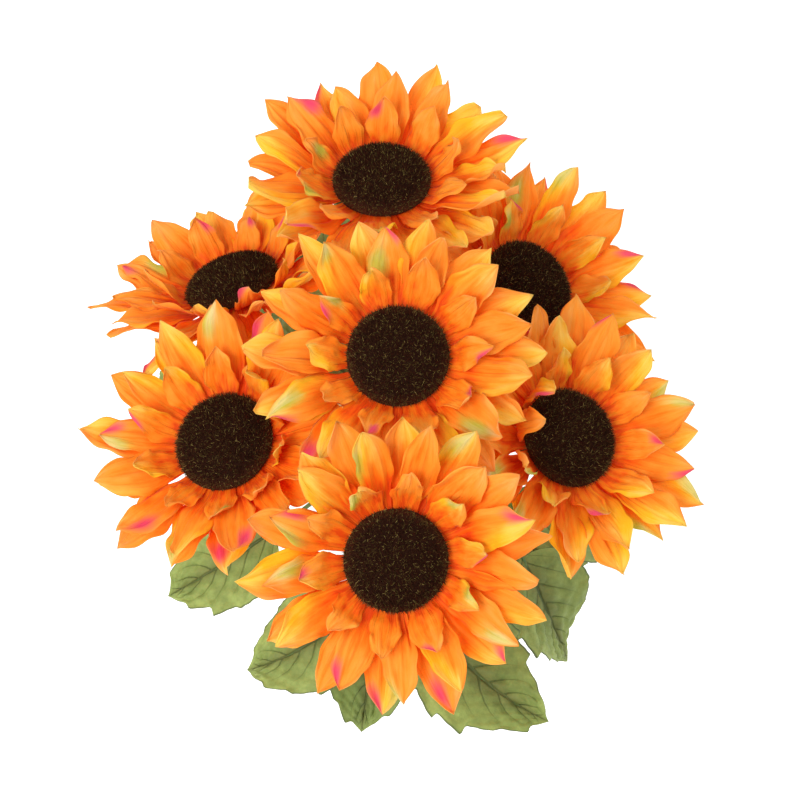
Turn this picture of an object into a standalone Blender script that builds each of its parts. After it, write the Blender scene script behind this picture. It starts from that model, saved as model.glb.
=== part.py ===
"""An artificial sunflower bush with seven blooms, standing on the flat cut under its main stem.

A moulded main stem forks into seven wired stems. Each stem ends in a bloom: a green calyx, three
die-cut layers of fabric petals, and a seed disc with a thick pile. Fabric leaves on wired stalks
stand out from the stems below the blooms.

Metres, +Z up. The origin is the centre of the cut under the main stem; the front is towards -Y.
"""

import math

import bpy
import numpy as np
from mathutils import Matrix
from mathutils.bvhtree import BVHTree

# ---------------------------------------------------------------- sizes of one bloom
DISC_RADIUS = 0.0270  # seed disc, out to the ends of its pile
DISC_RISE = 0.0105  # height of its dome
DISC_SEAT = 0.0006  # its underside, above the middle of the bloom
RING_RADIUS = 0.0170  # where the petals of a layer part, hidden under the disc
NECK_TURN = 0.0050  # the stretch over which they turn up beyond the disc, to each side
FABRIC = 0.0006  # stiffened petal fabric
CALYX_TOP = -0.0052
CALYX_FOOT = -0.0215
SEPALS = 10

# name: petals, length beyond the neck, width, rise in degrees, height of the layer's ring, and
# radius of the neck, where it comes out from under the disc
LAYERS = {
    "outer": (14, 0.0490, 0.0205, 15, -0.0040, 0.0318),
    "middle": (13, 0.0460, 0.0195, 28, -0.0025, 0.0309),
    "inner": (10, 0.0280, 0.0160, 46, -0.0010, 0.0300),
}

# ---------------------------------------------------------------- the bush
FORK_HEIGHT = 0.130  # top of the main stem's collar
COLLAR_RADIUS = 0.0092
MAIN_STEM_RADIUS = 0.0050  # at its cut
STEM_RADIUS = 0.0023  # a wired stem at the fork
STEM_TIP_RADIUS = 0.0019
STEM_RING = 0.0056  # the six outer stems stand on this circle
SPREAD = 0.95  # how far out they swing low down, as a share of the bloom's distance
GAP = 0.0003  # between pieces that meet

# name: (across, back, up), then in degrees (compass way it faces, lean from upright), the turn of
# its petals, and how far those towards the middle of the bush are pressed up. Below 0 they are
# pressed down, and those on the far side rise instead
BLOOMS = {
    "front": ((-0.001, -0.112, 0.392), (270, 24), 8, 0),
    "crown": ((0.000, -0.004, 0.400), (270, 4), 0, -1),
    "left": ((-0.093, -0.041, 0.364), (166, 16), 19, 22),
    "right": ((0.092, -0.037, 0.358), (2, 24), 33, 26),
    "back": ((-0.009, 0.107, 0.372), (92, 22), 15, -14),
    "back_left": ((-0.094, 0.063, 0.326), (117, 42), 11, -12),
    "back_right": ((0.073, 0.059, 0.334), (16, 31), 3, -14),
}

# ---------------------------------------------------------------- leaves
STALK_WIDTH = 0.0028
BLADE = 0.092
BLADE_WIDTH = 0.072
LEAF_THICKNESS = 0.0012
TEETH = 6  # on each side

# name: stem, share of the way up it, length of the stalk, then in degrees the compass way the leaf
# leaves by, its bend sideways, its rise, droop to the tip and roll; and share of the full blade
LEAVES = {
    "left_low": ("left", 0.43, 0.035, 217, -18, -10, 30, 5, 0.92),
    "left_up": ("left", 0.47, 0.040, 100, 0, -15, 40, -10, 0.90),
    "front_left": ("front", 0.52, 0.045, 242, -58, -14, 28, 5, 0.91),
    "front_low": ("front", 0.40, 0.042, 257, 4, -10, 36, -6, 0.92),
    "front_right": ("front", 0.62, 0.045, 289, 50, -6, 16, 0, 0.98),
    "front_side": ("front", 0.44, 0.020, 340, -20, -20, 38, -5, 0.90),
    "right_low": ("right", 0.56, 0.045, 300, 0, -22, 38, -42, 0.95),
    "right_mid": ("right", 0.36, 0.030, 335, 10, -25, 25, 15, 0.90),
    "right_up": ("right", 0.47, 0.030, 350, 0, -12, 32, 5, 0.90),
    "crown_left": ("crown", 0.58, 0.040, 130, -5, -5, 28, 10, 0.90),
    "crown_right": ("crown", 0.48, 0.045, 35, 0, -15, 38, -15, 0.90),
    "back_left_in": ("back_left", 0.68, 0.060, 85, 10, -15, 25, -20, 0.95),
    "back_left_out": ("back_left", 0.50, 0.030, 165, 0, -5, 30, 0, 0.90),
    "back_side": ("back", 0.66, 0.030, 60, 0, -18, 34, 5, 0.95),
    "back_out": ("back", 0.64, 0.030, 134, 0, -10, 25, 0, 0.95),
    "back_right_out": ("back_right", 0.66, 0.025, 20, 5, -18, 38, 10, 1.00),
}


def smooth(t):
    """Eases from 0 to 1 as t goes from 0 to 1."""
    t = np.clip(t, 0, 1)
    return t * t * (3 - 2 * t)


# ---------------------------------------------------------------- petals
def bloom_axes(faces):
    """The bloom's own axes as rows: upright turned by its lean towards the way it faces."""
    way, lean = np.radians(faces)
    out = np.array([math.cos(way), math.sin(way), 0])
    side = np.array([-math.sin(way), math.cos(way), 0])
    up = np.array([0, 0, 1.0])
    tipped = out * math.cos(lean) - up * math.sin(lean)
    x = tipped * math.cos(way) - side * math.sin(way)
    y = tipped * math.sin(way) + side * math.cos(way)
    return np.array([x, y, up * math.cos(lean) + out * math.sin(lean)])


def draw_petals(bloom, layer):
    """The petals of one layer, each a dict of its own sizes and angles, drawn from a fixed seed."""
    count, reach, width, rise, seat, neck = LAYERS[layer]
    place, faces, start, press = BLOOMS[bloom]
    axes = bloom_axes(faces)
    inward = -np.array([place[0], place[1], 0]) / max(math.hypot(*place[:2]), 0.05)
    number = list(LAYERS).index(layer)
    dice = np.random.default_rng([list(BLOOMS).index(bloom), number])
    step = 2 * math.pi / count
    petals = []
    for k in range(count):
        a, b, c, d, e, f, g = dice.uniform(-1, 1, 7)
        turn = math.radians(start) + step * (k + 0.5 * number)
        side = (math.cos(turn) * axes[0] + math.sin(turn) * axes[1]) @ inward
        bend = press * side**2 if side > 0 else -1.6 * min(press, 0) * side**2
        petal = {
            "turn": turn,
            "chord": RING_RADIUS * math.cos(step / 2),
            "root": RING_RADIUS * math.sin(step / 2),
            "seat": seat,
            "neck": neck,
            "length": reach * (1 + 0.13 * a) * (1 - max(bend * side, 0) / 250),
            "width": width * (1 + 0.10 * b),
            "rise": math.radians(rise + 5 * c + bend),
            "curl": math.radians(10 * d),
            "twist": math.radians(16 * e),
            "sway": math.radians(4 * f),
            "cup": 0.06 + 0.14 * g,
        }
        petals.append(petal)
    return petals


def petal_surface(petal, along, across):
    """Middle surface of a petal: rows from its root on the ring to its tip, columns -1 to 1.

    The spine runs flat under the disc, turns up by the rise as it comes out, and bends on by the
    curl. The half width eases from the root to the widest place and closes to a point.
    """
    neck = petal["neck"] - RING_RADIUS
    whole = neck + petal["length"]
    arc = np.linspace(0, whole, 65)
    free = np.clip((arc - neck) / petal["length"], 0, 1)
    pitch = petal["rise"] * smooth((arc - neck + NECK_TURN) / (2 * NECK_TURN))
    pitch = pitch + petal["curl"] * free**2
    middle = (pitch[1:] + pitch[:-1]) / 2
    out = petal["chord"] + np.concatenate([[0], np.cumsum(np.cos(middle))]) * arc[1]
    up = petal["seat"] + np.concatenate([[0], np.cumsum(np.sin(middle))]) * arc[1]

    share = np.asarray(along)
    free, pitch, out, up = (np.interp(share * whole, arc, k) for k in (free, pitch, out, up))
    half = petal["root"] + (petal["width"] / 2 - petal["root"]) * smooth(share / 0.62)
    half = half * (1 - np.clip((share - 0.62) / 0.38, 0, 1) ** 1.9)
    twist = petal["twist"] * free
    shift = math.tan(petal["sway"]) * petal["length"] * free**1.5

    v = np.asarray(across)[None, :]
    raised = petal["cup"] * half[:, None] * (v**2 - 0.4) * smooth(free * 4)[:, None]
    sideways = v * (half * np.cos(twist))[:, None] - raised * np.sin(twist)[:, None]
    lifted = v * (half * np.sin(twist))[:, None] + raised * np.cos(twist)[:, None]
    radial = out[:, None] - lifted * np.sin(pitch)[:, None]
    height = up[:, None] + lifted * np.cos(pitch)[:, None]
    sideways = sideways + shift[:, None]
    c, s = math.cos(petal["turn"]), math.sin(petal["turn"])
    return np.stack([radial * c - sideways * s, radial * s + sideways * c, height], -1)


# ---------------------------------------------------------------- stems
def stem_path(bloom, share):
    """Centreline of a stem: it leaves the fork upwards, swings outwards and comes to the calyx
    square to it, as a curve drawn by five points."""
    place, faces = BLOOMS[bloom][:2]
    facing = bloom_axes(faces)[2]
    end = np.array(place) + facing * (CALYX_FOOT - GAP)
    outward = np.array([end[0], end[1], 0])
    reach = np.linalg.norm(outward)
    outward = outward / reach if reach > STEM_RING else np.zeros(3)
    start = np.array([0, 0, FORK_HEIGHT + GAP]) + outward * STEM_RING
    spread = np.array([0, 0, FORK_HEIGHT + 0.060]) + outward * SPREAD * reach
    points = (start, start + np.array([0, 0, 0.020]), spread, end - facing * 0.080, end)
    t = np.asarray(share)[:, None]
    weights = (1, 4, 6, 4, 1)
    return sum(w * p * t**k * (1 - t) ** (4 - k) for k, (w, p) in enumerate(zip(weights, points)))


def tube_rings(path, tangents, radii, sides):
    """Rings of points, one square to the path at each of its points."""
    tangents = tangents / np.linalg.norm(tangents, axis=1)[:, None]
    across = np.cross(tangents, [0.31, 0.95, 0.05])
    across /= np.linalg.norm(across, axis=1)[:, None]
    other = np.cross(tangents, across)
    turn = np.arange(sides) * 2 * math.pi / sides
    sideways = np.cos(turn)[None, :, None] * across[:, None]
    sideways = sideways + np.sin(turn)[None, :, None] * other[:, None]
    return path[:, None] + radii[:, None, None] * sideways


# ---------------------------------------------------------------- leaves
def leaf_surface(leaf, across):
    """Middle surface of a leaf with its stalk, from its root, setting off along +X.

    It sets off at its rise, droops and bends sideways as it goes, rolls, and is folded along its
    midrib. The blade is widest a third of the way out, with teeth that point to the tip. The rows
    are the root, the blade's foot, then a tooth and a valley in turn, and the tip.
    """
    rows = np.concatenate([[0], (np.arange(1, 2 * TEETH) + 0.2) / (2 * TEETH), [1]])
    blade, stalk = BLADE * leaf["size"], leaf["stalk"]
    whole = stalk + blade
    arc = np.linspace(0, whole, 65)
    pitch = leaf["rise"] - leaf["droop"] * (arc / whole) ** 1.2
    heading = leaf["bend"] * arc / whole
    level = np.cos(pitch)
    steps = np.stack([level * np.cos(heading), level * np.sin(heading), np.sin(pitch)])
    middle = (steps[:, 1:] + steps[:, :-1]) / 2 * arc[1]
    path = np.concatenate([np.zeros((3, 1)), np.cumsum(middle, 1)], 1)

    share = np.concatenate([[0], rows])
    tooth = np.concatenate([[0], np.arange(2 * TEETH + 1) % 2])
    swell = np.sin(math.pi * share**0.62) ** np.where(share < 0.33, 0.8, 1.03)
    half = BLADE_WIDTH * leaf["size"] / 2 * swell * (0.955 + 0.09 * tooth)
    half[-1] = 0
    half[:2] = STALK_WIDTH / 2

    v = np.asarray(across)[None, :]
    at = np.concatenate([[0], stalk + rows * blade])[:, None]
    at = at + 0.035 * blade * tooth[:, None] * v**2
    x, y, z, pitch, heading = (np.interp(at, arc, k) for k in (*path, pitch, heading))
    roll = leaf["roll"] * smooth(at / whole)
    raised = leaf["fold"] * half[:, None] * np.abs(v) * smooth(share * 6)[:, None]
    sideways = v * half[:, None] * np.cos(roll) - raised * np.sin(roll)
    lifted = v * half[:, None] * np.sin(roll) + raised * np.cos(roll)
    x = x - sideways * np.sin(heading) - lifted * np.sin(pitch) * np.cos(heading)
    y = y + sideways * np.cos(heading) - lifted * np.sin(pitch) * np.sin(heading)
    z = z + lifted * np.cos(pitch)
    return np.stack([x, y, z], -1)


def draw_leaf(name):
    """A leaf as a dict of its sizes and angles."""
    stem, share, stalk, way, bend, rise, droop, roll, size = LEAVES[name]
    return {
        "centre": stem_path(stem, [share])[0],
        "stalk": stalk,
        "way": math.radians(way),
        "bend": math.radians(bend),
        "rise": math.radians(rise),
        "droop": math.radians(droop),
        "roll": math.radians(roll),
        "fold": 0.22,
        "size": size,
    }


def leaf_frame(leaf):
    """The leaf's own axes as rows, and its root just clear of the side of its stem."""
    c, s = math.cos(leaf["way"]), math.sin(leaf["way"])
    axes = np.array([[c, s, 0], [-s, c, 0], [0, 0, 1]])
    return axes, leaf["centre"] + (STEM_RADIUS + GAP) * axes[0]


# ---------------------------------------------------------------- keeping clear
PETAL_ROWS = (0.0, 0.2, 0.5, 0.78, 1.0)
INNER_ROWS = (0.0, 0.3, 0.66, 1.0)
ACROSS = (-1.0, 0.0, 1.0)
SHEET_ROOM = 0.0014  # between the middles of two petals
LEAF_ROOM = 0.0022
SOLID_ROOM = 0.0007  # between the middle of a petal and a solid


def grid_faces(rows, columns):
    """Triangles of a grid of points."""
    i, j = np.meshgrid(np.arange(rows - 1), np.arange(columns - 1), indexing="ij")
    a = (i * columns + j).ravel()
    above = np.stack([a, a + 1, a + columns + 1], 1)
    below = np.stack([a, a + columns + 1, a + columns], 1)
    return np.concatenate([above, below])


def refine(surface, rows, columns):
    """Evenly spread points of a surface, between the points of its grid."""
    for axis, count in ((0, rows), (1, columns)):
        at = np.linspace(0, surface.shape[axis] - 1, count)
        low = np.minimum(at.astype(int), surface.shape[axis] - 2)
        part = (at - low).reshape([-1 if k == axis else 1 for k in range(3)])
        first, second = np.take(surface, low, axis), np.take(surface, low + 1, axis)
        surface = first * (1 - part) + second * part
    return surface.reshape(-1, 3)


def surround(points):
    """Centre and radius of a ball round the points."""
    centre = (points.min(0) + points.max(0)) / 2
    return centre, np.linalg.norm(points - centre, axis=1).max()


class Crowd:
    """What is already in place. A new surface is laid only where it stays clear of all of it."""

    def __init__(self):
        self.placed = []

    def add(self, points, faces, room):
        tree = BVHTree.FromPolygons(points.tolist(), [[int(i) for i in f] for f in faces])
        self.placed.append((tree, points.tolist(), *surround(points), room))

    def add_surface(self, surface, room):
        self.add(surface.reshape(-1, 3), grid_faces(*surface.shape[:2]), room)

    def touches(self, surface):
        points = surface.reshape(-1, 3)
        tree = BVHTree.FromPolygons(points.tolist(), grid_faces(*surface.shape[:2]).tolist())
        centre, radius = surround(points)
        spread = refine(surface, 17, 5).tolist()
        for other, corners, place, reach, room in self.placed:
            if np.linalg.norm(place - centre) > radius + reach + room:
                continue
            if tree.overlap(other):
                return True
            if any(other.find_nearest(point, room)[0] is not None for point in spread):
                return True
            if any(tree.find_nearest(point, room)[0] is not None for point in corners):
                return True
        return False


def petal_tries(gives):
    """Changes tried in turn, the least first: rise in degrees, sway in degrees, length kept."""
    tries = []
    for kept in (1, 0.86, 0.72, 0.58, 0.44, 0.30):
        for sway in (0, -4, 4, -8, 8, -12, 12):
            for change in range(-60, 61, 4):
                against = 30 if change * gives < 0 else 0
                cost = abs(change) + against + 0.4 * abs(sway) + 150 * (1 - kept)
                tries.append((cost, change, sway, kept))
    return [t[1:] for t in sorted(tries)]


def settle_petals(crowd):
    """Lays every petal, the foremost blooms first and their inner layers first, each with the
    least change that keeps it clear. Returns {(bloom, layer): petals}."""
    laid = {}
    for bloom, (place, faces, _, press) in BLOOMS.items():
        axes = bloom_axes(faces)
        tries = petal_tries(-1 if press < 0 else 1)
        for layer in reversed(LAYERS):
            laid[bloom, layer] = draw_petals(bloom, layer)
            rows = (0.1, *(INNER_ROWS if layer == "inner" else PETAL_ROWS)[1:])
            for petal in laid[bloom, layer]:
                drawn = petal["rise"], petal["sway"], petal["length"]
                for change, sway, kept in tries:
                    petal["rise"] = drawn[0] + math.radians(change)
                    petal["sway"] = drawn[1] + math.radians(sway)
                    petal["length"] = drawn[2] * kept
                    surface = petal_surface(petal, rows, ACROSS) @ axes + place
                    if not crowd.touches(surface):
                        break
                else:
                    raise ValueError(f"no room for a petal of {bloom} {layer}")
                crowd.add_surface(surface, SHEET_ROOM)
    return laid


def settle_leaves(crowd):
    """Lays the leaves in the same way, changing their rise and the way they point."""
    changes = range(-40, 41, 5)
    tries = sorted(((a, b) for a in changes for b in changes), key=lambda t: abs(t[0]) + abs(t[1]))
    laid = {}
    for name in LEAVES:
        leaf = draw_leaf(name)
        drawn = leaf["rise"], leaf["way"]
        for change, turn in tries:
            leaf["rise"] = drawn[0] + math.radians(change)
            leaf["way"] = drawn[1] + math.radians(turn)
            axes, root = leaf_frame(leaf)
            surface = leaf_surface(leaf, ACROSS) @ axes + root
            surface[0] += 0.2 * (surface[1] - surface[0])
            if not crowd.touches(surface):
                break
        else:
            raise ValueError(f"no room for the leaf {name}")
        crowd.add_surface(surface, LEAF_ROOM)
        laid[name] = leaf
    return laid


# ---------------------------------------------------------------- meshes
def ring_faces(rows, sides):
    """Quads between rings of points that follow one another."""
    faces = []
    for i in range(rows - 1):
        for k in range(sides):
            a, b = i * sides + k, i * sides + (k + 1) % sides
            faces.append((a, b, b + sides, a + sides))
    return faces


def tube_mesh(path, tangents, radii, sides):
    """A closed tube with a flat cap at each end."""
    points = tube_rings(path, tangents, radii, sides).reshape(-1, 3)
    first = tuple(range(sides - 1, -1, -1))
    last = tuple(range(len(points) - sides, len(points)))
    return points, [*ring_faces(len(path), sides), first, last]


def lathe_mesh(profile, sides, tips=None):
    """A closed turned piece from (radius, height) rows, bottom to top, that start and end on the
    axis. tips is a row and the (radius, height) of its every second point, for a toothed rim."""
    turn = np.arange(sides) * 2 * math.pi / sides
    middle = np.array(profile[1:-1])
    radius = np.repeat(middle[:, :1], sides, 1)
    height = np.repeat(middle[:, 1:], sides, 1)
    if tips:
        row, tip = tips
        radius[row, 1::2], height[row, 1::2] = tip
    rings = np.stack([radius * np.cos(turn), radius * np.sin(turn), height], -1)
    ends = [[0, 0, profile[0][1]], [0, 0, profile[-1][1]]]
    points = np.concatenate([rings.reshape(-1, 3), ends])
    faces = ring_faces(len(middle), sides)
    bottom, top = len(points) - 2, len(points) - 1
    last = (len(middle) - 1) * sides
    for k in range(sides):
        after = (k + 1) % sides
        faces += [(bottom, after, k), (top, last + k, last + after)]
    return points, faces


def layer_mesh(petals, rows):
    """One die-cut layer, in the bloom's frame: petals that share the points between them on a ring,
    and the fabric inside it."""
    points = [(0, 0, petals[0]["seat"])]
    ring = []
    for petal in petals:
        ring.append(len(points))
        points += list(petal_surface(petal, (0.0,), ACROSS)[0, :2])
    faces = []
    for k, petal in enumerate(petals):
        before = (ring[k], ring[k] + 1, ring[(k + 1) % len(petals)])
        faces += [(0, before[0], before[1]), (0, before[1], before[2])]
        surface = petal_surface(petal, rows, ACROSS)
        for row in surface[1:-1]:
            here = tuple(range(len(points), len(points) + 3))
            points += list(row)
            for j in (0, 1):
                faces.append((before[j], here[j], here[j + 1], before[j + 1]))
            before = here
        points.append(surface[-1, 1])
        tip = len(points) - 1
        faces += [(before[0], tip, before[1]), (before[1], tip, before[2])]
    return np.array(points), faces


def leaf_mesh(leaf):
    """The leaf's grid of points, closed to one point at the tip."""
    surface = leaf_surface(leaf, ACROSS)
    rows = len(surface) - 1
    points = np.concatenate([surface[:-1].reshape(-1, 3), surface[-1, 1:2]])
    faces = []
    for i in range(rows - 1):
        for a in (3 * i, 3 * i + 1):
            faces.append((a, a + 3, a + 4, a + 1))
    tip, last = 3 * rows, 3 * rows - 3
    return points, [*faces, (last, tip, last + 1), (last + 1, tip, last + 2)]


DISC_PROFILE = (
    (0, DISC_SEAT),
    (0.95 * DISC_RADIUS, DISC_SEAT),
    (DISC_RADIUS, DISC_SEAT + 0.14 * DISC_RISE),
    (0.94 * DISC_RADIUS, DISC_SEAT + 0.44 * DISC_RISE),
    (0.74 * DISC_RADIUS, DISC_SEAT + 0.76 * DISC_RISE),
    (0.40 * DISC_RADIUS, DISC_SEAT + 0.95 * DISC_RISE),
    (0, DISC_SEAT + DISC_RISE),
)
CALYX_PROFILE = (
    (0, CALYX_FOOT),
    (0.0030, CALYX_FOOT),
    (0.0034, CALYX_FOOT + 0.0010),
    (0.0095, CALYX_TOP - 0.0105),
    (0.0175, CALYX_TOP - 0.0045),
    (0.0210, CALYX_TOP - 0.0012),
    (0.0190, CALYX_TOP - 0.0002),
    (0, CALYX_TOP),
)
SEPAL_TIPS = (4, (0.0270, CALYX_TOP - 0.0024))
MAIN_STEM_PROFILE = (
    (0, 0),
    (MAIN_STEM_RADIUS, 0),
    (1.04 * MAIN_STEM_RADIUS, 0.040),
    (1.24 * MAIN_STEM_RADIUS, FORK_HEIGHT - 0.022),
    (COLLAR_RADIUS - 0.0004, FORK_HEIGHT - 0.016),
    (COLLAR_RADIUS, FORK_HEIGHT - 0.0015),
    (COLLAR_RADIUS - 0.0010, FORK_HEIGHT),
    (0, FORK_HEIGHT),
)


# ---------------------------------------------------------------- objects
def material(name, colour, roughness):
    """A plain finish."""
    made = bpy.data.materials.new(name)
    made.use_nodes = True
    shader = made.node_tree.nodes["Principled BSDF"]
    shader.inputs["Base Color"].default_value = (*colour, 1)
    shader.inputs["Roughness"].default_value = roughness
    return made


def add_object(name, points, faces, finish, thickness=None, parent=None):
    """A mesh object; a sheet gets its thickness from a Solidify modifier."""
    mesh = bpy.data.meshes.new(name)
    mesh.from_pydata([tuple(p) for p in points], [], [tuple(int(i) for i in f) for f in faces])
    mesh.materials.append(finish)
    mesh.shade_smooth()
    mesh.set_sharp_from_angle(angle=math.radians(35))
    obj = bpy.data.objects.new(name, mesh)
    obj.parent = parent
    bpy.context.collection.objects.link(obj)
    if thickness:
        solidify = obj.modifiers.new("Solidify", "SOLIDIFY")
        solidify.thickness = thickness
        solidify.offset = 0
    return obj


def pose(axes, place):
    """The matrix that takes a piece from its own frame to its place."""
    return Matrix.Translation(place) @ Matrix(axes.T.tolist()).to_4x4()


def build():
    for obj in list(bpy.data.objects):
        bpy.data.objects.remove(obj)
    petal_fabric = material("petal fabric", (0.95, 0.28, 0.03), 0.75)
    leaf_fabric = material("leaf fabric", (0.13, 0.22, 0.07), 0.70)
    stem_plastic = material("stem plastic", (0.10, 0.17, 0.05), 0.50)
    disc_pile = material("disc pile", (0.03, 0.015, 0.008), 0.95)

    add_object("main_stem", *lathe_mesh(MAIN_STEM_PROFILE, 12), stem_plastic)

    crowd = Crowd()
    centres = {}
    share = np.linspace(0, 1, 10)
    radii = STEM_RADIUS + (STEM_TIP_RADIUS - STEM_RADIUS) * share
    for bloom, (place, faces, *_) in BLOOMS.items():
        tangents = stem_path(bloom, share + 1e-4) - stem_path(bloom, share - 1e-4)
        points, sides = tube_mesh(stem_path(bloom, share), tangents, radii, 6)
        add_object("stem_" + bloom, points, sides, stem_plastic)
        crowd.add(points, sides, SOLID_ROOM)

        axes = bloom_axes(faces)
        centre = bpy.data.objects.new("bloom_" + bloom, None)
        centre.matrix_world = pose(axes, place)
        bpy.context.collection.objects.link(centre)
        centres[bloom] = centre
        calyx = lathe_mesh(CALYX_PROFILE, 2 * SEPALS, SEPAL_TIPS)
        disc = lathe_mesh(DISC_PROFILE, 18)
        add_object("calyx_" + bloom, *calyx, stem_plastic, parent=centre)
        add_object("disc_" + bloom, *disc, disc_pile, parent=centre)
        for points, sides in (calyx, disc):
            crowd.add(points @ axes + place, sides, SOLID_ROOM)

    for (bloom, layer), petals in settle_petals(crowd).items():
        rows = INNER_ROWS if layer == "inner" else PETAL_ROWS
        name = f"petals_{layer}_{bloom}"
        add_object(name, *layer_mesh(petals, rows), petal_fabric, FABRIC, centres[bloom])

    for name, leaf in settle_leaves(crowd).items():
        blade = add_object("leaf_" + name, *leaf_mesh(leaf), leaf_fabric, LEAF_THICKNESS)
        blade.matrix_world = pose(*leaf_frame(leaf))


build()
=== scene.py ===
import math

import bpy
import numpy as np
from mathutils.bvhtree import BVHTree
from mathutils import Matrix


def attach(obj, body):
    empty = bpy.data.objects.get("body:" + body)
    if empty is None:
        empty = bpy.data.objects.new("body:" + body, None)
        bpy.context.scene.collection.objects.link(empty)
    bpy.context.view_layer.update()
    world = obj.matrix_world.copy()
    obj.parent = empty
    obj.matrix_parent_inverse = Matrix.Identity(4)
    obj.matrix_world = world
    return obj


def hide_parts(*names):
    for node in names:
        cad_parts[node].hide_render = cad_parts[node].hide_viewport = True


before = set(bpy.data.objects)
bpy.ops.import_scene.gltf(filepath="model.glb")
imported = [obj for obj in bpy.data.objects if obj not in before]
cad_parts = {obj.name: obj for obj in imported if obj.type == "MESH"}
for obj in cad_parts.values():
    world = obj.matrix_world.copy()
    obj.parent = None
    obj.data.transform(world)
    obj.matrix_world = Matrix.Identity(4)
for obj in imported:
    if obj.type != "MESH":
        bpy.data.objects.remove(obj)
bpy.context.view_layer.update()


# -------------------- main stem
# The peg that the bush is stuck in by, injection-moulded in green polyethylene. It is cut flat at
# the foot, has shallow ribs left by the mould, and widens to a collar that the stems are set in.
FORK_HEIGHT = 0.130
PEG_RIBS = 10
PEG_RIB = 0.00015  # how proud a rib stands
# Radius and height of the peg and its collar, bottom to top
PEG_PROFILE = ((0.0046, 0), (0.0050, 0.0008), (0.0052, 0.040), (0.0062, 0.108), (0.0088, 0.114))
PEG_PROFILE += ((0.0092, 0.120), (0.0092, 0.1285), (0.0087, 0.1297), (0.0080, FORK_HEIGHT))


def smooth(t):
    """Eases from 0 to 1 as t goes from 0 to 1: three t squared less two t cubed."""
    t = np.clip(t, 0, 1)
    return t * t * (3 - 2 * t)


def linear(code):
    """Linear colour of an sRGB hex code: a channel c is ((c + 0.055) / 1.055) to the power 2.4, or
    c / 12.92 where it is darker than 0.04045."""
    c = np.array([int(code[k : k + 2], 16) for k in (1, 3, 5)]) / 255
    c = np.where(c <= 0.04045, c / 12.92, ((c + 0.055) / 1.055) ** 2.4)
    return (*c.tolist(), 1.0)


def new_finish(name):
    """A material with an empty node tree, and its output node."""
    made = bpy.data.materials.new(name)
    made.use_nodes = True
    made.node_tree.nodes.clear()
    return made, made.node_tree, made.node_tree.nodes.new("ShaderNodeOutputMaterial")


def add_node(tree, kind, values, out=0):
    """Adds a node and returns one of its outputs. A value sets the property or the socket that it
    is named after, or is joined to the socket where it is another node's output."""
    node = tree.nodes.new("ShaderNode" + kind)
    for key, value in values.items():
        if isinstance(value, bpy.types.NodeSocket):
            tree.links.new(node.inputs[key], value)
        elif isinstance(key, str) and hasattr(node, key):
            setattr(node, key, value)
        else:
            node.inputs[key].default_value = value
    return node.outputs[out]


def add_math(tree, operation, *terms):
    """Works with up to three numbers or outputs: MULTIPLY_ADD is the first times the second, plus
    the third."""
    return add_node(tree, "Math", {"operation": operation, **dict(enumerate(terms))})


def add_noise(tree, vector, scale, settings):
    """Noise over a vector that is drawn out by a scale of its own along each axis."""
    scaled = add_node(tree, "Mapping", {"Scale": scale, "Vector": vector})
    return add_node(tree, "TexNoise", {"Scale": 1.0, **settings, "Vector": scaled})


def add_ramp(tree, place, stops):
    """The colour at a place, 0 to 1, on a ramp with stops of (place, hex code)."""
    colour = add_node(tree, "ValToRGB", {"Fac": place})
    ramp = colour.node.color_ramp
    while len(ramp.elements) < len(stops):
        ramp.elements.new(1.0)
    for element, (at, code) in zip(ramp.elements, stops):
        element.position = at
        element.color = linear(code)
    return colour


def round_steps(sides):
    """Angles of even steps once round."""
    return np.arange(sides) * 2 * math.pi / sides


def grid_faces(index):
    """Faces of a grid of point numbers, one to a cell, its corners taken along the rows first."""
    corners = (index[:-1, :-1], index[1:, :-1], index[1:, 1:], index[:-1, 1:])
    return np.stack(corners, -1).reshape(-1, 4)


def closed_round(rings, foot, top):
    """Points and faces of a closed round piece: rings of points that follow one another upwards,
    with the first and last drawn together at the points foot and top."""
    rows, sides = rings.shape[:2]
    index = np.arange(rows * sides).reshape(rows, sides)
    index = np.concatenate([index, index[:, :1]], 1)
    end = np.full((1, sides + 1), rows * sides)
    index = np.concatenate([end, index, end + 1])
    return np.concatenate([rings.reshape(-1, 3), [foot, top]]), grid_faces(index.T)


def turned_rings(radius, height, sides):
    """Rings of a turned piece: a row's radius and height, numbers or one to a side, carried round
    the axis in equal steps."""
    turn = round_steps(sides)
    radius, height = radius + 0 * turn, height + 0 * turn
    return np.stack([radius * np.cos(turn), radius * np.sin(turn), height], -1)


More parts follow.
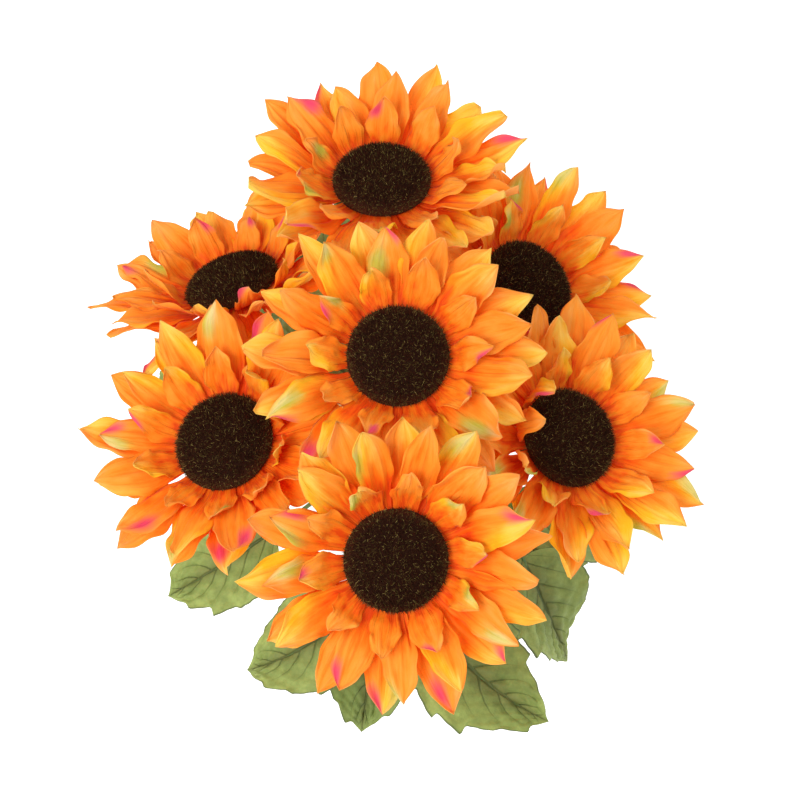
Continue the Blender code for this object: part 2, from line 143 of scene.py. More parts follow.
def make_piece(name, points, faces, finish, slot, nodes, marks=None, thickness=None, sharp=35):
    """A piece from its points and four-cornered faces; a corner named twice running counts once.
    marks are its attributes by name, and a sheet is given its thickness to both sides."""
    keep = faces != np.roll(faces, -1, axis=1)
    sizes = keep.sum(1)
    mesh = bpy.data.meshes.new(name)
    mesh.vertices.add(len(points))
    mesh.vertices.foreach_set("co", np.asarray(points, np.float32).ravel())
    mesh.loops.add(int(sizes.sum()))
    mesh.loops.foreach_set("vertex_index", faces[keep].astype(np.int32))
    mesh.polygons.add(len(faces))
    mesh.polygons.foreach_set("loop_start", (np.cumsum(sizes) - sizes).astype(np.int32))
    for mark, values in (marks or {}).items():
        kind, field = ("FLOAT", "value") if values.ndim == 1 else ("FLOAT_VECTOR", "vector")
        attribute = mesh.attributes.new(mark, kind, "POINT")
        attribute.data.foreach_set(field, np.asarray(values, np.float32).ravel())
    mesh.update(calc_edges=True)
    mesh.validate()
    mesh.shade_smooth()
    if sharp:
        mesh.set_sharp_from_angle(angle=math.radians(sharp))
    mesh.materials.append(finish)
    piece = bpy.data.objects.new(name, mesh)
    bpy.context.collection.objects.link(piece)
    if thickness:
        solidify = piece.modifiers.new("Thickness", "SOLIDIFY")
        solidify.thickness = thickness
        solidify.offset = 0
    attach(piece, "root")
    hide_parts(*nodes)


# Moulded polyethylene, tinted green in the mass: a waxy satin skin over a faintly pebbled mould
# face, with paler and darker streaks along it where the melt ran.
stem_plastic, tree, output = new_finish("moulded green polyethylene")
place = add_node(tree, "TexCoord", {}, "Object")
streaks = add_noise(tree, place, (1, 1, 0.12), {"Scale": 420.0, "Detail": 3.0})
tones = add_ramp(tree, streaks, ((0.30, "#3F5626"), (0.55, "#58722F"), (0.75, "#6C8540")))
pebbles = add_node(tree, "TexNoise", {"Scale": 1600.0, "Detail": 2.0, "Vector": place})
relief = add_node(tree, "Bump", {"Strength": 0.35, "Distance": 0.00012, "Height": pebbles})
skin = {"Base Color": tones, "Roughness": 0.46, "IOR": 1.51, "Normal": relief}
tree.links.new(output.inputs["Surface"], add_node(tree, "BsdfPrincipled", skin))

# The ribs grow over the lowest 4 mm and fade just below the collar
collar = (0.108, 0.112, 0.114, 0.120, 0.1285, 0.1297, FORK_HEIGHT)
height = np.array([0, 0.0008, *np.linspace(0.004, 0.104, 40), *collar])
radius = np.interp(height, *np.transpose(PEG_PROFILE)[::-1])
ribbed = smooth(height / 0.004) * smooth((0.112 - height) / 0.006)
ribs = PEG_RIB * np.cos(PEG_RIBS * round_steps(60)) * ribbed[:, None]
rings = turned_rings(radius[:, None] + ribs, height[:, None], 60)
peg = closed_round(rings, (0, 0, 0), (0, 0, FORK_HEIGHT))
make_piece("main_stem_peg", *peg, stem_plastic, "stem_plastic", ["main_stem"])


# -------------------- stems
# Seven iron wires, each sheathed in green polyethylene, set in the collar and bent outwards by
# hand. The sheath has fine ribs along it and swells into a joint every few centimetres.
STEM_RADIUS = 0.0023
STEM_TIP_RADIUS = 0.0019
STEM_RING = 0.0056  # the outer stems stand on this circle
STEM_FOOT = 0.020  # they leave the collar upright over this height
SPREAD = 0.95  # how far out they swing low down, as a share of the bloom's distance
SPREAD_HEIGHT = 0.060  # how high above the collar that is
STEM_NECK = 0.080  # they meet the calyx square over this length
GAP = 0.0003  # between a stem and what it meets
STEM_RIBS = 5
STEM_RIB = 0.00007  # how proud a rib stands
STEM_JOINTS = 6.5  # to a stem's length
JOINT_SWELL = 0.00035
CALYX_FOOT = -0.0215

# name: (across, back, up), then in degrees (compass way it faces, lean from upright), the turn of
# its petals, and how far those towards the middle of the bush are pressed up. Below 0 they are
# pressed down, and those on the far side rise instead
BLOOMS = {
    "front": ((-0.001, -0.112, 0.392), (270, 24), 8, 0),
    "crown": ((0.000, -0.004, 0.400), (270, 4), 0, -1),
    "left": ((-0.093, -0.041, 0.364), (166, 16), 19, 22),
    "right": ((0.092, -0.037, 0.358), (2, 24), 33, 26),
    "back": ((-0.009, 0.107, 0.372), (92, 22), 15, -14),
    "back_left": ((-0.094, 0.063, 0.326), (117, 42), 11, -12),
    "back_right": ((0.073, 0.059, 0.334), (16, 31), 3, -14),
}


def bell(x, width):
    """A bell curve: e to the power of minus the square of x over its width."""
    return np.exp(-((x / width) ** 2))


def bloom_axes(faces):
    """A bloom's own axes as rows: the upright ones turned by its lean towards the way it faces."""
    way, lean = np.radians(faces)
    out = np.array([math.cos(way), math.sin(way), 0])
    side = np.array([-math.sin(way), math.cos(way), 0])
    up = np.array([0, 0, 1.0])
    tipped = out * math.cos(lean) - up * math.sin(lean)
    x = tipped * math.cos(way) - side * math.sin(way)
    y = tipped * math.sin(way) + side * math.cos(way)
    return np.array([x, y, up * math.cos(lean) + out * math.sin(lean)])


def stem_path(bloom, share):
    """Centreline of a stem: a Bezier curve of five points, from the fork up and outwards to the
    calyx, which it meets square."""
    place, faces = BLOOMS[bloom][:2]
    facing = bloom_axes(faces)[2]
    end = np.array(place) + facing * (CALYX_FOOT - GAP)
    outward = np.array([end[0], end[1], 0])
    reach = np.linalg.norm(outward)
    outward = outward / reach if reach > STEM_RING else np.zeros(3)
    start = np.array([0, 0, FORK_HEIGHT + GAP]) + outward * STEM_RING
    foot = start + np.array([0, 0, STEM_FOOT])
    spread = np.array([0, 0, FORK_HEIGHT + SPREAD_HEIGHT]) + outward * SPREAD * reach
    points = (start, foot, spread, end - facing * STEM_NECK, end)
    t = np.asarray(share)[:, None]
    weights = (1, 4, 6, 4, 1)
    return sum(w * p * t**k * (1 - t) ** (4 - k) for k, (w, p) in enumerate(zip(weights, points)))


def unit(ways):
    """Directions brought to a length of 1."""
    return ways / np.linalg.norm(ways, axis=1)[:, None]


def tube_rings(path, tangents, radii, sides):
    """Rings carried along a path, each square to it: the path's point, plus the radius times the
    cosine and the sine of the turn along two directions across it. radii has a column to a side
    where they differ."""
    tangents = unit(tangents)
    across = unit(np.cross(tangents, [0.31, 0.95, 0.05]))
    other = np.cross(tangents, across)
    turn = round_steps(sides)
    sideways = np.cos(turn)[None, :, None] * across[:, None]
    sideways = sideways + np.sin(turn)[None, :, None] * other[:, None]
    radii = np.asarray(radii)
    radii = radii[:, :, None] if radii.ndim == 2 else radii[:, None, None]
    return path[:, None] + radii * sideways


def stem_tangents(bloom, share):
    """Directions along a stem: the step from just before each place to just after it."""
    return stem_path(bloom, share + 1e-4) - stem_path(bloom, share - 1e-4)


share = np.linspace(0, 1, 141)
joint = bell((share * STEM_JOINTS + 0.35) % 1 - 0.5, 0.045) * smooth((0.94 - share) * 20)
radii = STEM_RADIUS + (STEM_TIP_RADIUS - STEM_RADIUS) * share + JOINT_SWELL * joint
radii = radii[:, None] + STEM_RIB * np.cos(STEM_RIBS * round_steps(20))
for bloom in BLOOMS:
    path, ways = stem_path(bloom, share), stem_tangents(bloom, share)
    rings = tube_rings(path, ways, radii, 20)
    rings = np.concatenate([rings, rings[-1:] + GAP * ways[-1] / np.linalg.norm(ways[-1])])
    stem = closed_round(rings, path[0], rings[-1].mean(0))
    make_piece(f"wired_stem_{bloom}", *stem, stem_plastic, "stem_plastic", [f"stem_{bloom}"])


# -------------------- calyxes
# A green cup under each bloom, moulded in polyethylene with ten pointed sepals round its rim. It
# is pushed up the wire and glued, and holds the layers of petals together.
CALYX_TOP = -0.0052
CALYX_RIM = 0.0210
RIM_DROP = 0.0012  # from the top down to the rim
SEPALS = 10
VALLEY = 0.0012  # how far the rim is cut in between two sepals
KEEL = 0.00022  # how proud a sepal's keel stands
CALYX_PROFILE = (
    (0, CALYX_FOOT),
    (0.0030, CALYX_FOOT),
    (0.0034, CALYX_FOOT + 0.0010),
    (0.0095, CALYX_TOP - 0.0105),
    (0.0175, CALYX_TOP - 0.0045),
    (CALYX_RIM, CALYX_TOP - RIM_DROP),
    (0.0190, CALYX_TOP - 0.0002),
    (0, CALYX_TOP),
)
SEPAL_TIP = (0.0270, CALYX_TOP - 0.0024)


def to_bloom(points, bloom):
    """Carries points from a bloom's own axes to their place on the bush."""
    place, faces = BLOOMS[bloom][:2]
    return points @ bloom_axes(faces) + np.array(place)


# Down the outside of the cup and back over its rim: shares of the way along the profile's rows 1 to
# 6, where row 5 is the rim; the sepals grow out of the cup from row 3 and each is keeled
at = np.concatenate([np.linspace(1, 5, 22), [5.35, 5.7, 6.0]])
radius, height = (np.interp(at, np.arange(8), k)[:, None] for k in np.transpose(CALYX_PROFILE))
turn = round_steps(12 * SEPALS)
sepal = (0.5 - 0.5 * np.cos(SEPALS * turn)) ** 0.8
grown = np.where(at < 5, smooth((at - 3.2) / 1.8) ** 1.6, smooth(6 - at))[:, None]
radius = radius + (SEPAL_TIP[0] - CALYX_RIM) * sepal * grown - VALLEY * (1 - sepal) * grown
height = height + (SEPAL_TIP[1] - CALYX_TOP + RIM_DROP) * sepal * grown
keel = KEEL * np.abs(np.cos(SEPALS * turn / 2)) * np.clip((at - 1.5) / 2, 0, 1)[:, None]
radius = radius - keel * (at < 5)[:, None]
rings = turned_rings(radius, height, 12 * SEPALS)
points, faces = closed_round(rings, (0, 0, CALYX_FOOT), (0, 0, CALYX_TOP))
for bloom in BLOOMS:
    cup = to_bloom(points, bloom), faces
    make_piece(f"sepal_cup_{bloom}", *cup, stem_plastic, "calyx_plastic", [f"calyx_{bloom}"])


# -------------------- petals
# Three layers to a bloom, each die-cut in one star from stiffened polyester cloth, dyed in a
# gradient, pressed hot so that the petals cup and crease, and threaded on the wire.
DISC_RADIUS = 0.0270
DISC_RISE = 0.0105
DISC_SEAT = 0.0006
RING_RADIUS = 0.0170  # where the petals of a layer part, hidden under the disc
NECK_TURN = 0.0050  # the stretch over which they turn up beyond the disc, to each side
CLOTH = 0.00022
SHEET_ROOM = 0.0014  # between the middles of two petals
SOLID_ROOM = 0.0007  # between the middle of a petal and a solid
PETAL_ROWS = (0.1, 0.2, 0.5, 0.78, 1.0)
INNER_ROWS = (0.1, 0.3, 0.66, 1.0)
THREE_ACROSS = (-1.0, 0.0, 1.0)
WIDEST = 0.62  # how far along a petal it is widest

# name: petals, length beyond the neck, width, rise in degrees, height of the layer's ring, and
# radius of the neck, where it comes out from under the disc
LAYERS = {
    "outer": (14, 0.0490, 0.0205, 15, -0.0040, 0.0318),
    "middle": (13, 0.0460, 0.0195, 28, -0.0025, 0.0309),
    "inner": (10, 0.0280, 0.0160, 46, -0.0010, 0.0300),
}

# How much single petals differ: shares of the length and width, and degrees of the rise; then
# degrees of curl, twist and sway, and how far a petal is cupped, with how much more or less
LENGTH_VARIES = 0.13
WIDTH_VARIES = 0.10
RISE_VARIES = 5
CURL = 10
TWIST = 16
SWAY = 4
CUP = (0.06, 0.14)

# How far the inner petals that crowd against the middle bloom have curled over their own disc, as
# shares of HUDDLE degrees
HUDDLED = {"right": 1.1, "left": 0.5, "back_left": 0.7, "back_right": 1.1}
HUDDLE = 105

# Depths and heights of the folds pressed into a petal that is FOLDED_WIDTH wide
FOLDED_WIDTH = 0.021
MIDDLE_GROOVE = 0.0010
SIDE_GROOVE = 0.00070
SIDE_GROOVES = (-0.66, -0.33, 0.33, 0.66)  # where they run, from edge to edge
SOFT_WAVE = 0.00060
PLEAT_WAVE = 0.00028
LONG_WAVE = 0.00110
EDGE_RIPPLE = 0.00240
EDGE_ROLL = 0.0076
TIP_HOOK = 0.0042


def wave(turns):
    """A sine wave, one to each whole turn."""
    return np.sin(2 * math.pi * turns)


def draw_petals(bloom, layer):
    """The petals of one layer, each a dict of its own sizes and angles, drawn from a fixed seed.
    On the side towards the middle of the bush they are pressed up or down and may be huddled."""
    count, reach, width, rise, seat, neck = LAYERS[layer]
    place, faces, start, press = BLOOMS[bloom]
    axes = bloom_axes(faces)
    inward = -np.array([place[0], place[1], 0]) / max(math.hypot(*place[:2]), 0.05)
    number = list(LAYERS).index(layer)
    seed = [list(BLOOMS).index(bloom), number]
    dice = np.random.default_rng(seed)
    step = 2 * math.pi / count
    petals = []
    for k in range(count):
        a, b, c, d, e, f, g = dice.uniform(-1, 1, 7)
        turn = math.radians(start) + step * (k + 0.5 * number)
        side = (math.cos(turn) * axes[0] + math.sin(turn) * axes[1]) @ inward
        bend = press * side**2 if side > 0 else -1.6 * min(press, 0) * side**2
        petal = {
            "turn": turn,
            "chord": RING_RADIUS * math.cos(step / 2),
            "root": RING_RADIUS * math.sin(step / 2),
            "seat": seat,
            "neck": neck,
            "length": reach * (1 + LENGTH_VARIES * a) * (1 - max(bend * side, 0) / 250),
            "width": width * (1 + WIDTH_VARIES * b),
            "rise": math.radians(rise + RISE_VARIES * c + bend),
            "curl": math.radians(CURL * d),
            "twist": math.radians(TWIST * e),
            "sway": math.radians(SWAY * f),
            "cup": CUP[0] + CUP[1] * g,
            "huddle": HUDDLED.get(bloom, 0) * (0, 0.3, 1)[number] * max(side, 0) ** 5,
            "dice": np.random.default_rng([*seed, k]).uniform(-1, 1, 28),
        }
        petals.append(petal)
    return petals


def petal_folds(petal, free, v):
    """Height of the heat-set folds over the plain cupped petal, and its outline as a share of the
    plain one. free runs from the neck to the tip, v from edge to edge.

    The height is a groove along the middle and four lesser ones that fan out beside it, each a bell
    curve across a line that wanders as a sine, with two waves across for soft pleats, all fading
    towards the tip; then one long wave along the petal, a ripple that grows with the cube of v, one
    edge rolled up by the square of its distance from the middle, and a tip hooked by a square. The
    outline swells in a bell curve near the neck and in another near the tip, wavers along the edges
    in two waves that grow with the cube of v, and bulges more on one side, as a sine."""
    f = petal["dice"]
    size = petal["width"] / FOLDED_WIDTH
    rooted = smooth(free * 3.5)
    drift = 0.16 * wave(0.75 * free + f[0]) * free
    folds = -MIDDLE_GROOVE * (1 + 0.4 * f[1]) * bell(v - drift, 0.15) * (1 - 0.6 * free)
    for k, place in enumerate(SIDE_GROOVES):
        line = (place + 0.13 * f[16 + k]) * (1.15 - 0.25 * free)
        line = line + 0.08 * np.sin(5.5 * free + 9 * f[20 + k])
        depth = SIDE_GROOVE * (0.70 + f[24 + k]) * (1 - 0.60 * smooth(free * 1.3 - 0.30))
        folds = folds - depth * bell(v - line, 0.085)
    folds = folds + SOFT_WAVE * wave((1.55 + 0.3 * f[2]) * (v + drift) + f[3])
    folds = folds + PLEAT_WAVE * wave((3.3 + 0.6 * f[4]) * (v - drift) + f[5])
    folds = folds * (1 - 0.80 * smooth((free - 0.62) / 0.36))
    folds = folds + LONG_WAVE * wave((0.9 + 0.3 * f[17]) * free + 0.22 * v * f[18] + f[19])
    edge = np.abs(v) ** 3
    ripple = EDGE_RIPPLE * edge * wave((1.9 + 0.6 * f[6]) * free + f[7] + 0.18 * np.sign(v))
    rolled = np.clip(v * np.sign(f[8]) - 0.20, 0, 1) ** 2 * (EDGE_ROLL * max(f[9], -0.20))
    hooked = TIP_HOOK * f[10] * (np.clip(free - 0.66, 0, 1) / 0.34) ** 2
    height = size * rooted * (folds + (ripple + rolled) * smooth(free * 2)) + size * hooked
    outline = 1.03 + 0.08 * f[16] + 0.08 * edge * wave(1.1 * free + f[11] + 0.3 * np.sign(v))
    outline = outline + 0.050 * edge * wave(3.3 * free + f[21] + 0.4 * np.sign(v))
    outline = outline + 0.14 * f[22] * v * np.sin(math.pi * free)
    outline = outline + 0.10 * bell(free - 0.30, 0.20)
    outline = outline + (0.13 + 0.13 * f[3]) * bell(free - 0.84, 0.13)
    return height, outline


def petal_surface(petal, along, across, folded=False):
    """Middle surface of a petal: rows from its root on the ring to its tip, columns -1 to 1.

    The spine runs flat under the disc, turns up by the rise as it comes out, and bends on by the
    curl. The half width eases from the root to the widest place and closes to a point. The cup
    raises a column by the square of its place, and the twist turns each row about the spine. A
    folded surface has its folds and outline too, and huddled petals bend on over the disc."""
    neck = petal["neck"] - RING_RADIUS
    whole = neck + petal["length"]
    arc = np.linspace(0, whole, 65)
    free = np.clip((arc - neck) / petal["length"], 0, 1)
    pitch = petal["rise"] * smooth((arc - neck + NECK_TURN) / (2 * NECK_TURN))
    pitch = pitch + petal["curl"] * free**2
    if folded:
        pitch = pitch + math.radians(HUDDLE) * petal["huddle"] * smooth(free * 1.15)
    middle = (pitch[1:] + pitch[:-1]) / 2
    out = petal["chord"] + np.concatenate([[0], np.cumsum(np.cos(middle))]) * arc[1]
    up = petal["seat"] + np.concatenate([[0], np.cumsum(np.sin(middle))]) * arc[1]

    share = np.asarray(along)[:, None]
    free, pitch, out, up = (np.interp(share * whole, arc, k) for k in (free, pitch, out, up))
    half = petal["root"] + (petal["width"] / 2 - petal["root"]) * smooth(share / WIDEST)
    half = half * (1 - np.clip((share - WIDEST) / (1 - WIDEST), 0, 1) ** 1.9)
    twist = petal["twist"] * free
    shift = math.tan(petal["sway"]) * petal["length"] * free**1.5

    v = np.asarray(across)
    raised = petal["cup"] * half * (v**2 - 0.4) * smooth(free * 4)
    if folded:
        height, outline = petal_folds(petal, free, v)
        raised = raised + height
        half = half * (1 + (outline - 1) * smooth(free * 6))
    sideways = v * half * np.cos(twist) - raised * np.sin(twist) + shift
    lifted = v * half * np.sin(twist) + raised * np.cos(twist)
    radial = out - lifted * np.sin(pitch)
    height = up + lifted * np.cos(pitch)
    c, s = math.cos(petal["turn"]), math.sin(petal["turn"])
    return np.stack([radial * c - sideways * s, radial * s + sideways * c, height], -1)


def sheet_triangles(rows, columns):
    """Triangles of a sheet's grid of points."""
    i, j = np.meshgrid(np.arange(rows - 1), np.arange(columns - 1), indexing="ij")
    a = (i * columns + j).ravel()
    above = np.stack([a, a + 1, a + columns + 1], 1)
    below = np.stack([a, a + columns + 1, a + columns], 1)
    return np.concatenate([above, below])


def refine(surface, rows, columns):
    """Evenly spread points of a surface, each between the points of its grid in proportion."""
    for axis, count in ((0, rows), (1, columns)):
        at = np.linspace(0, surface.shape[axis] - 1, count)
        low = np.minimum(at.astype(int), surface.shape[axis] - 2)
        part = (at - low).reshape([-1 if k == axis else 1 for k in range(3)])
        first, second = np.take(surface, low, axis), np.take(surface, low + 1, axis)
        surface = first * (1 - part) + second * part
    return surface.reshape(-1, 3)


def surround(points):
    """Centre and radius of a ball round the points."""
    centre = (points.min(0) + points.max(0)) / 2
    return centre, np.linalg.norm(points - centre, axis=1).max()


class Crowd:
    """What is already in place. A new surface is laid only where it stays clear of all of it."""

    def __init__(self):
        self.placed = []

    def add(self, points, faces, room):
        """Puts a piece in place, with the room that others keep from it."""
        tree = BVHTree.FromPolygons(points.tolist(), [list(dict.fromkeys(f)) for f in faces.tolist()])
        self.placed.append((tree, points.tolist(), *surround(points), room))

    def add_surface(self, surface, room):
        """Puts a petal or a leaf in place, from its grid of points."""
        self.add(surface.reshape(-1, 3), sheet_triangles(*surface.shape[:2]), room)

    def touches(self, surface):
        """Whether a surface crosses anything in place or comes into its room."""
        points = surface.reshape(-1, 3)
        tree = BVHTree.FromPolygons(points.tolist(), sheet_triangles(*surface.shape[:2]).tolist())
        centre, radius = surround(points)
        spread = refine(surface, 17, 5).tolist()
        for other, corners, place, reach, room in self.placed:
            if np.linalg.norm(place - centre) > radius + reach + room:
                continue
            if tree.overlap(other):
                return True
            if any(other.find_nearest(point, room)[0] is not None for point in spread):
                return True
            if any(tree.find_nearest(point, room)[0] is not None for point in corners):
                return True
        return False


def petal_tries(gives):
    """Changes tried in turn, the least first: rise in degrees, sway in degrees, length kept. gives
    is the way that a petal rather moves: 1 up, -1 down."""
    tries = []
    for kept in (1, 0.86, 0.72, 0.58, 0.44, 0.30):
        for sway in (0, -4, 4, -8, 8, -12, 12):
            for change in range(-60, 61, 4):
                against = 30 if change * gives < 0 else 0
                cost = abs(change) + against + 0.4 * abs(sway) + 150 * (1 - kept)
                tries.append((cost, change, sway, kept))
    return [t[1:] for t in sorted(tries)]


def settle_petals(crowd):
    """Lays every petal, the foremost blooms first and their inner layers first, each with the
    least change that keeps it clear. Returns {(bloom, layer): petals}."""
    laid = {}
    for bloom, (*_, press) in BLOOMS.items():
        tries = petal_tries(-1 if press < 0 else 1)
        for layer in reversed(LAYERS):
            laid[bloom, layer] = draw_petals(bloom, layer)
            rows = INNER_ROWS if layer == "inner" else PETAL_ROWS
            for petal in laid[bloom, layer]:
                drawn = petal["rise"], petal["sway"], petal["length"]
                for change, sway, kept in tries:
                    petal["rise"] = drawn[0] + math.radians(change)
                    petal["sway"] = drawn[1] + math.radians(sway)
                    petal["length"] = drawn[2] * kept
                    surface = to_bloom(petal_surface(petal, rows, THREE_ACROSS), bloom)
                    if not crowd.touches(surface):
                        break
                crowd.add_surface(surface, SHEET_ROOM)
    return laid


# The plain stems, cups and discs that the petals keep clear of
DISC_SHAPE = ((0, 0), (0.95, 0), (1, 0.14), (0.94, 0.44), (0.74, 0.76), (0.40, 0.95), (0, 1))
DISC_PROFILE = [(r * DISC_RADIUS, DISC_SEAT + up * DISC_RISE) for r, up in DISC_SHAPE]
crowd = Crowd()
share = np.linspace(0, 1, 10)
for bloom in BLOOMS:
    radii = STEM_RADIUS + (STEM_TIP_RADIUS - STEM_RADIUS) * share
    rings = tube_rings(stem_path(bloom, share), stem_tangents(bloom, share), radii, 6)
    crowd.add(*closed_round(rings, rings[0].mean(0), rings[-1].mean(0)), SOLID_ROOM)
    radius, height = np.transpose(CALYX_PROFILE[1:-1])[:, :, None] + np.zeros(2 * SEPALS)
    radius[4, 1::2], height[4, 1::2] = SEPAL_TIP
    rings = turned_rings(radius, height, 2 * SEPALS)
    points, faces = closed_round(rings, (0, 0, CALYX_FOOT), (0, 0, CALYX_TOP))
    crowd.add(to_bloom(points, bloom), faces, SOLID_ROOM)
    radius, height = np.transpose(DISC_PROFILE[1:-1])[:, :, None]
    ends = (0, 0, DISC_PROFILE[0][1]), (0, 0, DISC_PROFILE[-1][1])
    points, faces = closed_round(turned_rings(radius, height, 18), *ends)
    crowd.add(to_bloom(points, bloom), faces, SOLID_ROOM)
laid_petals = settle_petals(crowd)


def add_fade(tree, value, low, high, start, end, kind="LINEAR"):
    """Goes from start, where the value is low, to end, where it is high."""
    ends = {"From Min": low, "From Max": high, "To Min": start, "To Max": end}
    return add_node(tree, "MapRange", {"interpolation_type": kind, **ends, "Value": value})


def add_tint(tree, share, under, over):
    """Lays a share of one colour over another, each a colour or an output."""
    return add_node(tree, "Mix", {"data_type": "RGBA", 0: share, 6: under, 7: over}, 2)


def petal_dyes(petal, free, v):
    """How far each place lies in the petal's yellow, pink and green dye, 0 to 1. Yellow runs in
    from the tip and down one edge; pink and green are soft patches on an edge near the tip, that
    only some petals have."""
    f = petal["dice"]
    side = np.sign(f[12])
    amount = np.clip(0.52 + 1.30 * f[13], 0, 1)
    yellow = amount * smooth((free + 0.45 * side * v - 0.20) / 0.95)
    patch = np.hypot((free - 0.84 - 0.14 * f[1]) / 0.30, (v + side * (0.70 + 0.30 * f[4])) / 0.70)
    pink = (f[14] > 0.62) * np.clip(1.08 - patch, 0, 1)
    patch = np.hypot((free - 0.74 - 0.24 * f[2]) / 0.34, (v - side * (0.60 + 0.30 * f[5])) / 0.70)
    green = (f[15] > 0.62) * np.clip(1.20 - patch, 0, 1)
    return np.stack([yellow, pink, green], -1)


def petal_layer(petals, batch, rows, columns):
    """One star of petals as points, faces and marks: the petals share the points between them on a
    ring, the cloth inside the ring is a fan, and each tip is one point. batch tells apart the cloth
    that stars are cut from."""
    count = len(petals)
    v = np.linspace(-1, 1, columns)
    along = np.linspace(0, 1, rows) ** 0.92
    grids, frees = [], []
    for petal in petals:
        neck = petal["neck"] - RING_RADIUS
        whole = neck + petal["length"]
        grids.append(petal_surface(petal, along, v, folded=True))
        frees.append(np.clip((along * whole - neck) / petal["length"], 0, 1)[:, None] + 0 * v)
    grids, frees = np.array(grids), np.array(frees)
    dyes = np.array([petal_dyes(p, free, v) for p, free in zip(petals, frees)])
    folds = np.array([petal_folds(p, free, v)[0] for p, free in zip(petals, frees)])
    number = 20 * batch + np.arange(count)[:, None, None] + np.zeros(frees.shape)
    where = np.stack([frees, v + 0 * frees, number], -1)

    index = 1 + np.arange(count * rows * columns).reshape(count, rows, columns)
    index[:, 0, -1] = np.roll(index[:, 0, 0], -1)
    index[:, -1, :] = index[:, -1, :1]
    faces = np.concatenate([grid_faces(cells) for cells in index])
    rim = index[:, 0, :]
    fan = np.stack([0 * rim[:, 1:], rim[:, :-1], rim[:, 1:], rim[:, 1:]], -1).reshape(-1, 4)
    faces = np.concatenate([fan, faces])
    used, faces = np.unique(faces, return_inverse=True)
    middle = np.zeros((1, 3))
    points = np.concatenate([middle + [0, 0, petals[0]["seat"]], grids.reshape(-1, 3)])
    marks = {
        "petal_place": np.concatenate([middle, where.reshape(-1, 3)])[used],
        "petal_dye": np.concatenate([middle, dyes.reshape(-1, 3)])[used],
        # The height of the folds in millimetres, which paints shade in the folds and light on their
        # crests
        "petal_fold": np.concatenate([[0], folds.ravel() * 1000])[used],
    }
    return points[used], faces.reshape(-1, 4), marks


# Stiffened polyester taffeta, printed and airbrushed: matt, and thin enough for light to glow
# through. It is deep red-orange at the root, orange, and paler to the tip, in soft clouds and in
# streaks along the petal, 1 mm apart because its 0.2 mm threads are too fine to show. The press
# leaves pleats that gather at the root, and wrinkles across them; painted shade makes the colour
# deeper where the pleats and folds sink, and painted light makes it paler where they stand up.
petal_cloth, tree, output = new_finish("dyed polyester taffeta")
where = add_node(tree, "Attribute", {"attribute_name": "petal_place"}, "Vector")
dye = add_node(tree, "Attribute", {"attribute_name": "petal_dye"}, "Vector")
fold = add_node(tree, "Attribute", {"attribute_name": "petal_fold"}, "Fac")
along = add_node(tree, "SeparateXYZ", {"Vector": where}, "X")
yellow, pink, green = add_node(tree, "SeparateXYZ", {"Vector": dye}).node.outputs
spun = {"Detail": 5.0, "Roughness": 0.62, "Distortion": 0.3}
threads = add_noise(tree, where, (1.6, 9.0, 3.7), spun)
clouds = add_noise(tree, where, (3.2, 1.8, 5.3), {"Detail": 2.0})
streaky = add_math(tree, "MULTIPLY_ADD", threads, 0.42, -0.21)
cloudy = add_math(tree, "MULTIPLY_ADD", clouds, 0.85, -0.38)
varied = add_math(tree, "ADD", streaky, cloudy)
outward = add_math(tree, "MULTIPLY_ADD", along, 0.82, varied)
ridges = {"noise_type": "RIDGED_MULTIFRACTAL", "Detail": 2.0, "Distortion": 0.25}
pleated = add_noise(tree, where, (0.8, 6.5, 4.7), ridges)
gathered = add_fade(tree, along, 0.05, 0.95, 1.0, 0.25)
pleat_height = add_math(tree, "MULTIPLY", pleated, gathered)
# Painted shade and light: the ramp is moved deeper where the pleats and folds sink and paler where
# they stand up
pleat_shaded_place = add_math(tree, "MULTIPLY_ADD", pleat_height, 0.07, outward)
fold_shaded_place = add_math(tree, "MULTIPLY_ADD", fold, 0.05, pleat_shaded_place)
oranges = ((0.0, "#F25400"), (0.11, "#FD720A"), (0.29, "#FF9016"))
oranges += ((0.55, "#FFA630"), (0.80, "#FFAF46"), (1.0, "#FFBC62"))
colour = add_ramp(tree, fold_shaded_place, oranges)
# Sprayed on last, each paler where it runs out to the tip: golden yellow, leaf green and pink
for amount, spread, low, high, tones in (
    (yellow, 0.8, 0.16, 0.90, ((0.50, "#FFCA20"), (1.0, "#FFE274"))),
    (green, 0.6, 0.15, 1.05, ((0.50, "#CCCC4C"), (0.95, "#F0E2A2"))),
    (pink, 0.7, 0.20, 1.00, ((0.50, "#EA3472"), (0.95, "#F0567E"))),
):
    blotched = add_math(tree, "MULTIPLY_ADD", varied, spread, amount)
    cover = add_fade(tree, blotched, low, high, 0.0, 0.92, "SMOOTHSTEP")
    colour = add_tint(tree, cover, colour, add_ramp(tree, outward, tones))
ridges = {"noise_type": "RIDGED_MULTIFRACTAL", "Detail": 3.0, "Distortion": 0.8}
wrinkles = add_noise(tree, where, (3.4, 2.9, 6.1), ridges)
relief = add_node(tree, "Bump", {"Strength": 0.50, "Distance": 0.0012, "Height": wrinkles})
pleats = {"Strength": 0.75, "Distance": 0.0012, "Height": pleat_height, "Normal": relief}
relief = add_node(tree, "Bump", pleats)
ribbing = {"Strength": 0.6, "Distance": 0.0007, "Height": threads, "Normal": relief}
relief = add_node(tree, "Bump", ribbing)
matt = {"Roughness": 0.62, "IOR": 1.5, "Specular IOR Level": 0.22}
nap = {"Sheen Weight": 0.05, "Sheen Roughness": 0.45}
face = add_node(tree, "BsdfPrincipled", {**matt, **nap, "Base Color": colour, "Normal": relief})
glow = add_node(tree, "BsdfTranslucent", {"Color": colour, "Normal": relief})
thin_cloth = add_node(tree, "MixShader", {0: 0.38, 1: face, 2: glow})
tree.links.new(output.inputs["Surface"], thin_cloth)

